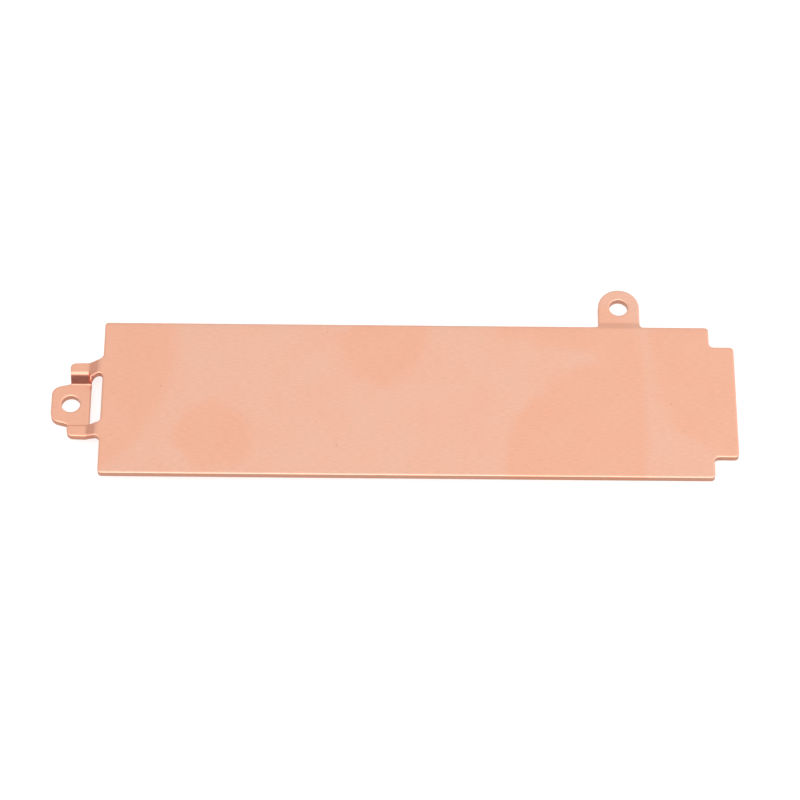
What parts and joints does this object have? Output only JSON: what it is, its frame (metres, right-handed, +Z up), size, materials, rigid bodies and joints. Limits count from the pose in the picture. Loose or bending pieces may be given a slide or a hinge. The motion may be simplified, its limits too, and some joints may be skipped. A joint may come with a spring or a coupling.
{
  "type": "ssd heatsink",
  "caption": "Flat stamped copper cooling plate for a solid state drive card, with a stepped screw tab on its end and a round screw lug on one long side.",
  "frame": {"origin": "centre of the plate's underside, the face that lies on the card's thermal pad", "axes": "+X along the card from the screw tab towards the notched end, +Y across it towards the screw lug, +Z up, away from the card"},
  "size_m": [0.0865, 0.0278, 0.003],
  "materials": {
    "copper_sheet": "bare rolled copper sheet, satin, with fine lines along its length"
  },
  "bodies": {
    "root": {"heatsink_plate": "copper_sheet"}
  },
  "joints": []
}
